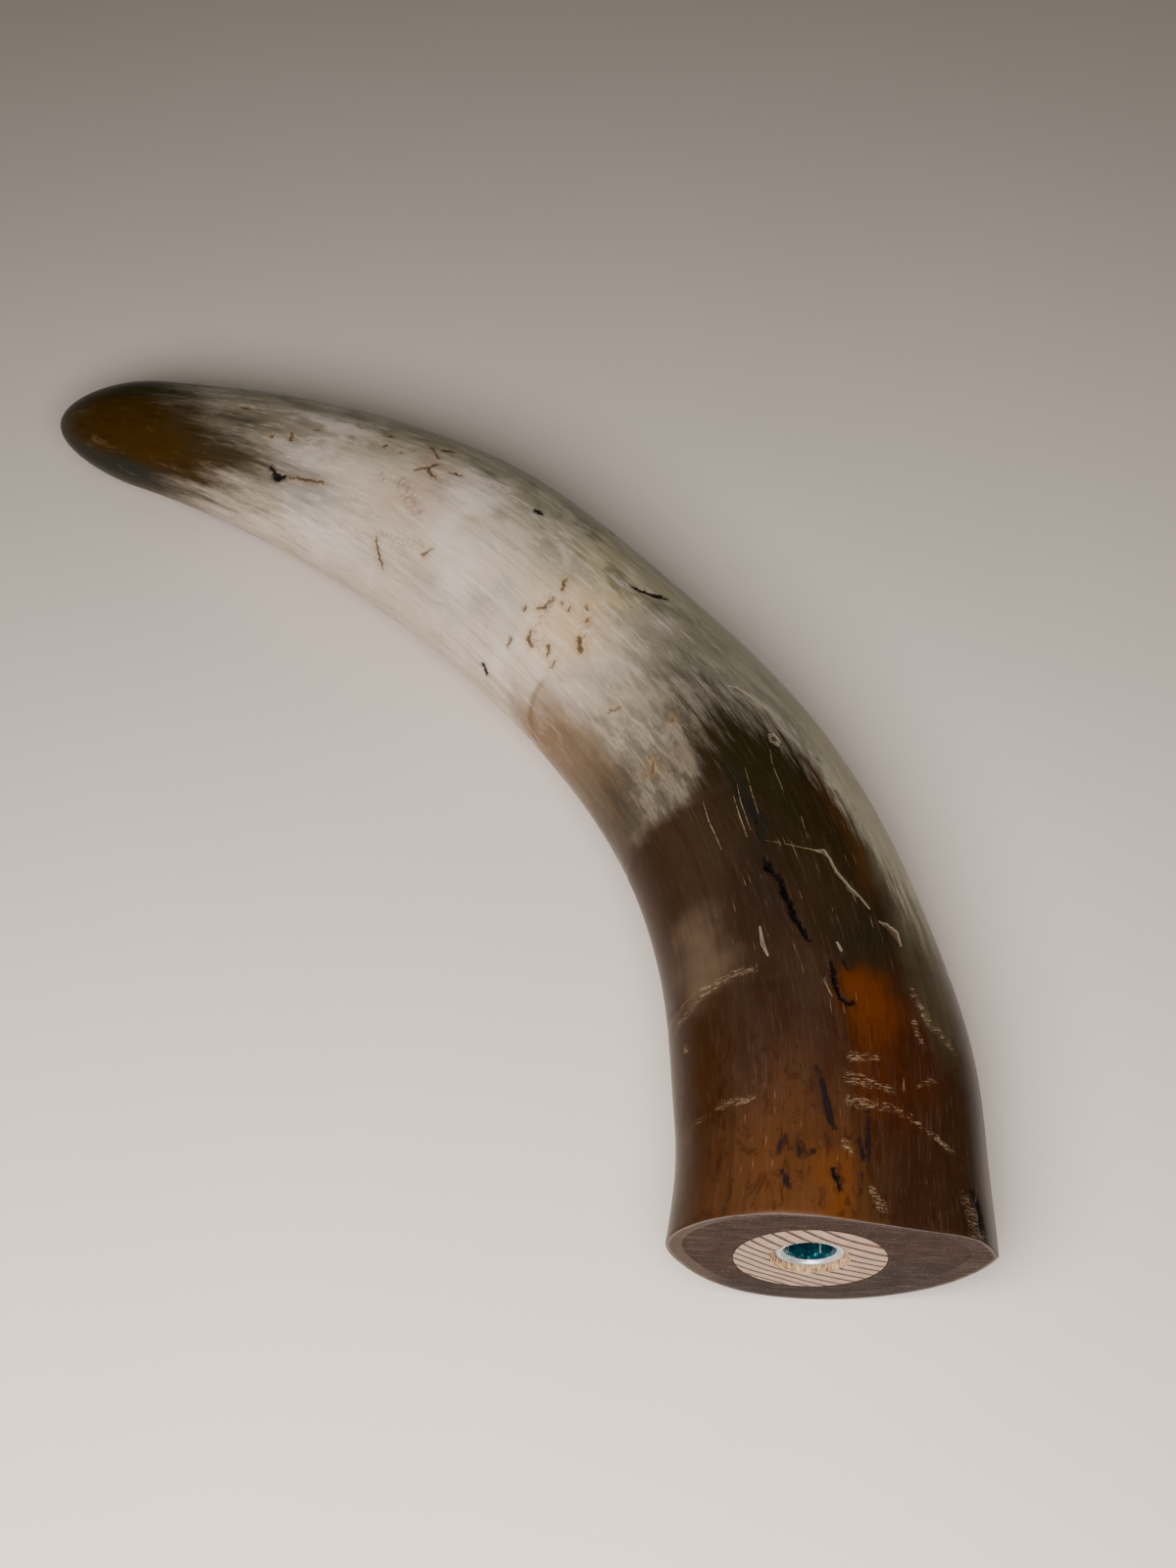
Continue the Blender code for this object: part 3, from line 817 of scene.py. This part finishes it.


# %% [markdown]
# ## The sawn end
# Horn and filler were cut and sanded together, so they share one recipe: mottled, with pale specks,
# dark pores and fine saw lines. The horn's own edge is a shade greyer low down, and pale along its
# rim: partly worn, partly a painted highlight on the cut edge.

# %% the sawn end's finish
def sanded(recipe, place, shade, deep):
    """Colour and normal of a sanded face."""
    cloud = recipe.noise(place, 0.22, 4, 0.6)
    speck = recipe.noise(place, 1.9, 4, 0.8)
    lines = recipe.noise(place, 1.2, 4, 0.7, stretch=(0.10, 1, 2.6))
    colour = recipe.mix(recipe.fade(cloud, 0.40, 0.62), shade, deep)
    colour = recipe.glaze(colour, tone(112, 90, 78), recipe.fade(speck, 0.54, 0.66), 0.5)
    colour = recipe.glaze(colour, tone(20, 11, 8), recipe.fade(speck, 0.46, 0.34), 0.75)
    colour = recipe.glaze(colour, tone(98, 76, 66), recipe.fade(lines, 0.52, 0.62), 0.5)
    colour = recipe.glaze(colour, tone(26, 18, 14), recipe.fade(lines, 0.46, 0.38), 0.4)
    height = recipe.math("ADD", lines, recipe.times(speck, 0.8))
    return colour, recipe.bump(height, 0.10, 0.7)


def layout_place(recipe):
    """The layout point in mm, from the object's own coordinates."""
    return recipe.vector("SUBTRACT", recipe.object_mm(), tuple(ORIGIN / MM))


def sawn_finish():
    material, recipe, shader = new_finish("horn_sawn_edge", Roughness=0.65, Specular_IOR_Level=0.15)
    place = layout_place(recipe)
    x, _, z = recipe.axes(place)
    low = recipe.fade(z, -9, -15)
    shade = recipe.mix(low, tone(42, 29, 22), tone(36, 31, 27))
    deep = recipe.mix(low, tone(32, 20, 14), tone(27, 23, 20))
    colour, normal = sanded(recipe, place, shade, deep)
    colour = recipe.glaze(colour, tone(78, 64, 56), recipe.fade(x, -13, -19), 0.6)
    # The pale band along the rim is partly wear and partly a painted highlight on the cut edge.
    from_rim = recipe.axes(recipe.attribute("grain"))["X"]
    from_rim = recipe.math("MULTIPLY_ADD", recipe.noise(place, 0.8, 3, 0.6), 0.9, from_rim)
    colour = recipe.glaze(colour, tone(112, 104, 98), recipe.fade(from_rim, 1.3, 0.7), 0.55)
    recipe.fill(shader, Base_Color=colour, Normal=normal)
    return material


# %% the wall of the hollow, which the horn and the filler share
HOLLOW_DEPTH = 95
HOLLOW_TAPER = 0.25


def hollow_rings(depth, inset=0.0):
    """Rings from near the hollow's rounded bottom out to near its mouth."""
    rings = []
    for s in np.linspace(1, 0, 10, endpoint=False)[1:]:
        narrow = (1 - HOLLOW_TAPER * s) * math.sqrt(1 - s**6)
        shift = (HOLLOW_SHIFT[0] * narrow, HOLLOW_SHIFT[1] * narrow)
        rings.append(ring(s * depth / HORN_LENGTH, HOLLOW_SCALE * narrow, shift, inset))
    return rings


def hollow_bottom(depth):
    return ring(depth / HORN_LENGTH, 0.0).mean(axis=0)


# %% build the horn
ALONG = 380
TIP_RINGS = 28
EDGE = 0.25
FAR = 20


def stations():
    """Where the outer rings stand: evenly along the body, then closer together round the tip."""
    body = np.linspace(EDGE / HORN_LENGTH, DOME_FROM, ALONG - TIP_RINGS, endpoint=False)
    bend = np.sin(np.linspace(0, math.pi / 2, TIP_RINGS, endpoint=False))
    return np.concatenate((body, DOME_FROM + (1 - DOME_FROM) * bend))


def build_horn():
    inner = ring(0, HOLLOW_SCALE, HOLLOW_SHIFT)
    face = ring(0, inset=EDGE)
    rings = hollow_rings(HOLLOW_DEPTH)
    rings.append(inner + [0, 0.15, 0])
    for share in (0.0, 0.06, 0.5, 0.8, 1.0):
        rings.append(inner + (face - inner) * share)
    first_outside = len(rings)
    around = (np.degrees(ANGLE) - 90 + 180) % 360 - 180
    grain = []
    for t in stations():
        radius = np.hypot(*section(t)).mean()
        along = np.full(AROUND, t * HORN_LENGTH)
        rings.append(ring(t, inset=relief(along, around, radius)))
        grain.append(np.stack([-radius * np.cos(ANGLE), radius * np.sin(ANGLE), along], axis=1))
    horn = skin_rings("horn_sheath", rings, hollow_bottom(HOLLOW_DEPTH), ring(1).mean(axis=0),
                      ((-1, 1), (first_outside - 1, 0)), (horn_finish(), sawn_finish()), 35)
    inside = np.zeros((first_outside, AROUND, 3))
    inside[:, :, 0] = [np.linalg.norm(points - face, axis=1) for points in rings[:first_outside]]
    last = [[0, 0, HORN_LENGTH]]
    write_attribute(horn, "grain", np.concatenate([[inside[0][0]], *inside, *grain, last]))
    along = np.repeat(stations() * HORN_LENGTH, AROUND)
    angles = np.tile(around, ALONG)
    tables = (SCUFFS + SCRAPE, SMUDGES, INCLUSIONS)
    soft = np.stack([stroke_distance(along, angles, table) for table in tables], axis=1)
    unmarked = np.full((1 + first_outside * AROUND, 3), FAR)
    soft = np.concatenate([unmarked, soft, [[FAR] * 3]])
    write_attribute(horn, "soft_marks", np.minimum(soft, FAR))
    return horn


horn = build_horn()
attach(horn, "root")
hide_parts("horn")
print("horn skin: %d points, %d faces" % (len(horn.data.vertices), len(horn.data.polygons)))

# %% [markdown]
# ## The filler
# The filler was cast into the hollow and sanded flush: a brown compound full of fine pale specks,
# with faint saw lines. Only its face shows, so its mesh spends its points there.

# %% the filler's finish
def filler_finish():
    material, recipe, shader = new_finish("filler_sanded", Roughness=0.7, Specular_IOR_Level=0.12)
    place = layout_place(recipe)
    x, _, z = recipe.axes(place)
    low = recipe.fade(recipe.math("MULTIPLY_ADD", x, -0.35, z), 0, -14)
    shade = recipe.mix(low, tone(46, 29, 22), tone(38, 32, 28))
    deep = recipe.mix(low, tone(34, 20, 14), tone(28, 23, 20))
    colour, normal = sanded(recipe, place, shade, deep)
    recipe.fill(shader, Base_Color=colour, Normal=normal)
    return material


# %% build the filler
FILLER_GAP = 0.3
SNUG = 0.05
FACE_RINGS = 20


def circle(radius, depth, bearings):
    """A ring of layout points round the plug's axis."""
    depths = np.full(len(bearings), float(depth))
    return np.stack([radius * np.cos(bearings), depths, radius * np.sin(bearings)], axis=1)


def build_filler():
    edge = ring(0, HOLLOW_SCALE, HOLLOW_SHIFT, inset=SNUG)
    bearings = np.unwrap(np.arctan2(edge[:, 2], edge[:, 0]))
    bore = circle(PLUG_RADIUS + SNUG, 0, bearings)
    bore_end = PLUG_DEPTH + 0.2
    rings = hollow_rings(HOLLOW_DEPTH - FILLER_GAP, FILLER_GAP)
    rings.append(edge + [0, 0.1, 0])
    for share in np.linspace(0, 1, FACE_RINGS):
        rings.append(edge + (bore - edge) * share)
    rings.append(bore + [0, bore_end, 0])
    return skin_rings("filler_face", rings, hollow_bottom(HOLLOW_DEPTH - FILLER_GAP), (0, bore_end, 0),
                      ((-1, 0),), (filler_finish(),))


filler = build_filler()
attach(filler, "root")
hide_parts("core_filler")
print("filler: %d faces" % len(filler.data.polygons))

# %% [markdown]
# ## The wooden plug
# The plug shows its end grain. Year rings are arcs about the tree's pith, which lay off to the
# upper right, and a tree adds about the same area of wood each year, so the rings count up with
# the square of the distance from the pith: wide near it, narrow far from it. The dark late wood is
# harder, so sanding leaves it a little proud. That relief is in the mesh, and the same formula
# colours it.

# %% year rings
PITH = (29.0, 44.0)
RINGS_PER_SQUARE_MM = 0.0041
LATE_WOOD = 0.40
WAVES = ((2.9, 4.3, 0.175), (-5.1, 1.7, 0.105))


def year(x, z):
    """How many years out from the pith, with a slight waver."""
    waver = sum(size * np.sin(x / wide + z / high) for wide, high, size in WAVES)
    return RINGS_PER_SQUARE_MM * (np.hypot(x - PITH[0], z - PITH[1]) + waver) ** 2


def late_wood(x, z):
    """1 on the dark line that ends each year, 0 in the pale wood."""
    share = year(x, z) % 1.0
    return ease(1 - LATE_WOOD, 1 - LATE_WOOD / 2, share) * ease(1.0, 0.97, share)


# %% the plug's finishes
def wood_finish():
    material, recipe, shader = new_finish("plug_end_grain", Roughness=0.7, Specular_IOR_Level=0.15)
    place = layout_place(recipe)
    x, _, z = recipe.axes(place)
    flat = recipe.add("CombineXYZ", X=x, Z=z).outputs[0]
    distance = recipe.vector("DISTANCE", flat, (PITH[0], 0, PITH[1]))
    for wide, high, size in WAVES:
        wave = recipe.math("ADD", recipe.math("DIVIDE", x, wide), recipe.math("DIVIDE", z, high))
        distance = recipe.math("MULTIPLY_ADD", recipe.math("SINE", wave), size, distance)
    count = recipe.times(recipe.math("POWER", distance, 2.0), RINGS_PER_SQUARE_MM)
    share = recipe.math("FRACT", count)
    late = recipe.fade(share, 1 - LATE_WOOD, 1 - LATE_WOOD / 2)
    late = recipe.times(late, recipe.fade(share, 1.0, 0.95))
    blotch = recipe.noise(place, 0.35, 3, 0.6)
    pores = recipe.noise(place, 5.0, 3, 0.7)
    colour = recipe.mix(recipe.fade(blotch, 0.35, 0.65), tone(168, 146, 130), tone(156, 132, 116))
    colour = recipe.glaze(colour, tone(146, 116, 96), share, 0.25)
    strong = recipe.math("MULTIPLY_ADD", recipe.noise(place, 0.6, 2, 0.5), 0.4, 0.7)
    colour = recipe.glaze(colour, tone(50, 27, 17), late, strong)
    colour = recipe.glaze(colour, tone(104, 78, 62), recipe.fade(pores, 0.56, 0.70), 0.25)
    recipe.fill(shader, Base_Color=colour, Normal=recipe.bump(pores, 0.05, 0.5))
    return material


def torn_finish():
    material, recipe, shader = new_finish("torn_fibres", Roughness=0.75)
    fibre = recipe.noise(recipe.object_mm(), 1.0, 4, 0.65, stretch=(3.2, 0.6, 3.2))
    colour = recipe.mix(recipe.fade(fibre, 0.36, 0.56), tone(84, 48, 24), tone(172, 140, 102))
    recipe.fill(shader, Base_Color=colour, Normal=recipe.bump(fibre, 0.25, 0.8))
    return material


# %% build the plug
HOLE_RADIUS = 6.75
MOUTH_RADIUS = 7.35
MOUTH_RISE = 0.75
MOUTH_DROP = 0.45
HOLE_DEPTH = 18
PILOT_RADIUS = 3.4
PILOT_DEPTH = 24
PILOT_POINT = 25.7
RELIEF = 0.06
PLUG_POINTS = 320
FLAT_RINGS = 28
TORN_RINGS = 10
insert_low, insert_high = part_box("threaded_insert")
RECESS = (insert_low[1] - ORIGIN[1]) / MM
INSERT_LENGTH = (insert_high[1] - insert_low[1]) / MM


def build_plug(wood, torn):
    """The plug, with late wood proud of the face and a mouth torn wide above and below."""
    bearings = -np.linspace(0, 2 * math.pi, PLUG_POINTS, endpoint=False)
    spokes = circle(1.0, 0, bearings)
    generator = np.random.default_rng(5)
    ragged = RELIEF * sum(
        generator.uniform(0.3, 1.0) * np.sin(bearings * k + generator.uniform(0, 6.28))
        for k in (3, 7, 13, 22, 37)
    )
    torn_edge = np.tile(generator.normal(size=PLUG_POINTS), 3)
    torn_edge = np.convolve(torn_edge, (0.3, 0.7, 0.7, 0.3), "same")[PLUG_POINTS:2 * PLUG_POINTS]
    height = np.sin(bearings)
    mouth = MOUTH_RADIUS + np.where(height > 0, MOUTH_RISE, -MOUTH_DROP) * height**2 + ragged
    rim = PLUG_RADIUS - RELIEF
    rings = [circle(PLUG_RADIUS, PLUG_DEPTH, bearings), circle(PLUG_RADIUS, 0.15, bearings)]
    for share in np.linspace(0, 1, FLAT_RINGS):
        flat = spokes * (rim + (mouth - rim) * share)[:, None]
        lip = ease(0.9, 1.0, share) * (1 + np.sin(bearings * 29))
        flat[:, 1] = RELIEF * (1 - late_wood(flat[:, 0], flat[:, 2]) + lip)
        rings.append(flat)
    first_torn = len(rings)
    for share in np.linspace(0.08, 1, TORN_RINGS):
        wall = spokes * (mouth + (HOLE_RADIUS - mouth) * share)[:, None]
        wall[:, 1] = RELIEF + RECESS * share + 0.25 * np.maximum(torn_edge, 0) * (1 - share)
        rings.append(wall + spokes * np.clip(torn_edge * 0.22, -0.45, 0.12)[:, None])
    rings.append(circle(HOLE_RADIUS, HOLE_DEPTH, bearings))
    rings.append(circle(PILOT_RADIUS, HOLE_DEPTH, bearings))
    rings.append(circle(PILOT_RADIUS, PILOT_DEPTH, bearings))
    return skin_rings("plug_wood_piece", rings, (0, PLUG_DEPTH, 0), (0, PILOT_POINT, 0),
                      ((-1, 0), (first_torn - 1, 1)), (wood, torn), 50)


torn_wood = torn_finish()
plug = build_plug(wood_finish(), torn_wood)
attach(plug, "root")
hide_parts("dowel_plug")
print("plug: %d faces, insert recess %.2f mm" % (len(plug.data.polygons), RECESS))

# %% [markdown]
# ## Torn fibres
# Driving the insert tore the wood at the mouth of the hole: short splinters stand round it, most
# of them at the bottom. A particle system would be lost on the way out of Blender, so each splinter
# is a thin tapered prism, bent once, and all of them are one mesh.

# %% build the fibres
FIBRES = 90


def splinter(generator):
    """Nine points of one splinter: three triangles, at its foot, its knee and its end."""
    bearing = generator.normal(-math.pi / 2, 1.0)
    radius = generator.uniform(6.78, 6.98)
    length = generator.uniform(0.3, 0.85)
    width = generator.uniform(0.04, 0.10)
    start = radius * np.array([math.cos(bearing), 0, math.sin(bearing)])
    start[1] = generator.uniform(0.7, 1.2)
    lean = generator.normal(0, 0.35)
    inward = -start * [1, 0, 1] / radius
    sideways = np.array([-inward[2], 0, inward[0]])
    out = np.array([0, -1.0, 0])
    run = out + inward * generator.uniform(-0.3, 0.2) + sideways * lean
    run *= min(length, 1.1 * start[1]) / np.linalg.norm(run)
    knee = start + run * 0.6
    end = start + run + inward * generator.uniform(-0.1, 0.15)
    points = []
    for centre, wide in ((start, width), (knee, width * 0.8), (end, width * 0.15)):
        for a in (0, 2 * math.pi / 3, 4 * math.pi / 3):
            points.append(centre + sideways * wide * math.cos(a) + inward * wide * 0.6 * math.sin(a))
    return points


def build_fibres(material):
    generator = np.random.default_rng(21)
    points = []
    faces = []
    for _ in range(FIBRES):
        base = len(points)
        points += splinter(generator)
        faces.append((base, base + 1, base + 2))
        for low in (base, base + 3):
            for i in range(3):
                j = (i + 1) % 3
                faces.append((low + i, low + 3 + i, low + 3 + j, low + j))
        faces.append((base + 8, base + 7, base + 6))
    points = np.array(points)
    points[:, 1] = np.maximum(points[:, 1], 0.02)
    return add_piece("torn_fibres", to_scene(points), faces, (material,))


fibres = build_fibres(torn_wood)
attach(fibres, "root")
print("fibres:", FIBRES)

# %% [markdown]
# ## The insert
# The insert is a zinc-plated steel sleeve: a rounded rim, a hex drive, and an M8 thread below it.
# The thread is real geometry: each ring's radius rises and falls with its angle and depth, which
# is what a helix is. The plating is bright, with a blue tinge down in the bore, and the pale streaks
# that run along its axis are painted highlights.

# %% the insert's finishes
def zinc_finish(name, light, dark, roughness):
    material, recipe, shader = new_finish(name, Metallic=0.7)
    place = recipe.object_mm()
    spangle = recipe.noise(place, 1.4, 4, 0.6)
    brushed = recipe.noise(place, 1.0, 3, 0.6, stretch=(6, 0.5, 6))
    # Painted highlights: pale streaks along the insert's axis stand in for light caught on the edges of
    # the hex socket.
    painted_highlight_streaks = recipe.noise(place, 1.0, 2, 0.6, stretch=(1.1, 0.05, 1.1))
    colour = recipe.mix(recipe.fade(spangle, 0.35, 0.65), light, dark)
    colour = recipe.glaze(colour, tone(190, 205, 205), recipe.fade(painted_highlight_streaks, 0.60, 0.68), 0.7)
    rough = recipe.math("MULTIPLY_ADD", spangle, 0.2, roughness)
    recipe.fill(shader, Base_Color=colour, Roughness=rough, Normal=recipe.bump(brushed, 0.03, 0.4))
    return material


# %% build the insert
INSERT_RADIUS = 6.45
RIM_ROUND = 0.5
RIM_INSIDE = 5.5
INSIDE_ROUND = 0.25
HEX_FLAT = 4.0
HEX_DEPTH = 6.0
HEX_STEPS = ((4.9, 0.7), (4.3, 1.2), (HEX_FLAT, 1.7), (HEX_FLAT, HEX_DEPTH))
THREAD_CORE = 3.4
THREAD_DEPTH = 0.45
THREAD_PITCH = 1.25
RINGS_PER_TURN = 8
BOTTOM_CHAMFER = 0.4
INSERT_POINTS = 192


def thread_radius(depth, bearings, begins):
    """The bore's radius: a helical groove that fades in over the first millimetre."""
    share = (depth / THREAD_PITCH + bearings / (2 * math.pi)) % 1.0
    groove = np.clip(np.abs(share - 0.5) * 2.4 - 0.2, 0, 1) * ease(begins, begins + 1, depth)
    return THREAD_CORE + THREAD_DEPTH * groove


def insert_rings(bearings):
    """Rings from the rim's outer edge over it, down the bore, and out under the bottom."""
    sixth = math.pi / 3
    hexagon = HEX_FLAT / np.cos((bearings + sixth / 2) % sixth - sixth / 2)
    bottom = RECESS + INSERT_LENGTH
    profile = []
    for turn in np.linspace(0, math.pi / 2, 5):
        round_off = RIM_ROUND * (1 - math.cos(turn))
        profile.append((INSERT_RADIUS - round_off, RECESS + RIM_ROUND * (1 - math.sin(turn))))
    for turn in np.linspace(0, math.pi / 2, 4)[1:]:
        round_off = INSIDE_ROUND * (1 - math.cos(turn))
        profile.append((RIM_INSIDE - INSIDE_ROUND * math.sin(turn), RECESS + round_off))
    first_inside = len(profile)
    for least, below in HEX_STEPS:
        profile.append((np.maximum(hexagon, least), RECESS + below))
    begins = RECESS + HEX_DEPTH
    for depth in np.arange(begins, bottom - 0.2, THREAD_PITCH / RINGS_PER_TURN):
        profile.append((thread_radius(depth, bearings, begins), depth))
    last_inside = len(profile)
    profile.append((THREAD_CORE + 0.2, bottom))
    profile.append((INSERT_RADIUS - BOTTOM_CHAMFER, bottom))
    profile.append((INSERT_RADIUS, bottom - BOTTOM_CHAMFER))
    rings = [circle(radius, depth, bearings) for radius, depth in profile]
    return rings, range(first_inside, last_inside)


def build_insert():
    bright = zinc_finish("zinc_bright", tone(198, 202, 204), tone(164, 172, 176), 0.30)
    blue = zinc_finish("zinc_blue", tone(16, 84, 98), tone(4, 52, 66), 0.12)
    rings, inside = insert_rings(-np.linspace(0, 2 * math.pi, INSERT_POINTS, endpoint=False))
    faces = []
    kinds = []
    for r in range(len(rings)):
        low = r * INSERT_POINTS
        high = (r + 1) % len(rings) * INSERT_POINTS
        for i in range(INSERT_POINTS):
            j = (i + 1) % INSERT_POINTS
            faces.append((low + i, low + j, high + j, high + i))
            kinds.append(1 if r in inside else 0)
    points = to_scene(np.concatenate(rings))
    return add_piece("insert_metal", points, faces, (bright, blue), kinds, 30)


insert = build_insert()
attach(insert, "root")
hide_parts("threaded_insert")
print("insert: %d faces, length %.1f mm" % (len(insert.data.polygons), INSERT_LENGTH))

# %% [markdown]
# ## Floor, light and camera
# The horn lies on a plain pale board. One broad soft light hangs in front of the sawn end, a little
# lower than the camera, and is turned down to the board there, so the board darkens towards the
# tip. A weak light overhead and a dim world fill the shadows.

# %% the floor
def build_floor():
    material, recipe, shader = new_finish("floor_board", Roughness=0.8)
    place = recipe.object_mm()
    rough = recipe.noise(place, 1.2, 3, 0.6)
    board = recipe.mix(recipe.noise(place, 0.02, 4, 0.6), tone(212, 200, 192), tone(206, 195, 187))
    dust = recipe.fade(recipe.noise(place, 0.55, 2, 0.5), 0.80, 0.84)
    colour = recipe.glaze(board, tone(150, 138, 126), dust, 0.4)
    recipe.fill(shader, Base_Color=colour, Normal=recipe.bump(rough, 0.05, 0.4))
    corners = [(-3, -3, 0), (3, -3, 0), (3, 3, 0), (-3, 3, 0)]
    return add_piece("floor", corners, [(0, 1, 2, 3)], (material,))


build_floor()

# %% the lights
def area_light(name, place, aim, size, watts, colour):
    """A round soft light at a place, turned to face its aim."""
    data = bpy.data.lights.new(name, "AREA")
    data.shape = "DISK"
    data.size = size
    data.energy = watts
    data.color = colour
    light = bpy.data.objects.new(name, data)
    bpy.context.scene.collection.objects.link(light)
    light.location = place
    x, y, z = np.array(aim) - np.array(place)
    light.rotation_euler = (math.atan2(np.hypot(x, y), -z), 0, math.atan2(y, x) - math.pi / 2)


area_light("window", (-0.03, -0.34, 0.37), (0.02, -0.44, 0.0), 0.45, 7.8, (1.0, 0.95, 0.90))
area_light("ceiling", (-0.10, 0.05, 1.3), (0.0, 0.05, 0.0), 0.9, 0.9, (0.95, 1.0, 0.88))
world = bpy.data.worlds.new("soft_room")
world.use_nodes = True
background = world.node_tree.nodes["Background"]
background.inputs["Color"].default_value = (0.86, 0.95, 0.78, 1)
background.inputs["Strength"].default_value = 0.05
bpy.context.scene.world = world
print("lights:", [light.name for light in bpy.data.lights])

# %% the camera
CAMERA_FROM_PLUG = (-34.75, -149.26, 390.65)
LOOKS_DOWN = 57.36
LOOKS_LEFT = 2.14
LENS = 51.75


def build_camera():
    data = bpy.data.cameras.new("camera")
    data.sensor_fit = "AUTO"
    data.sensor_width = 36
    data.lens = LENS
    camera = bpy.data.objects.new("camera", data)
    bpy.context.scene.collection.objects.link(camera)
    camera.location = to_scene(CAMERA_FROM_PLUG)
    camera.rotation_euler = (math.radians(90 - LOOKS_DOWN), 0, math.radians(LOOKS_LEFT))
    return camera


bpy.context.scene.camera = build_camera()
print("the camera looks %.0f degrees down" % LOOKS_DOWN)
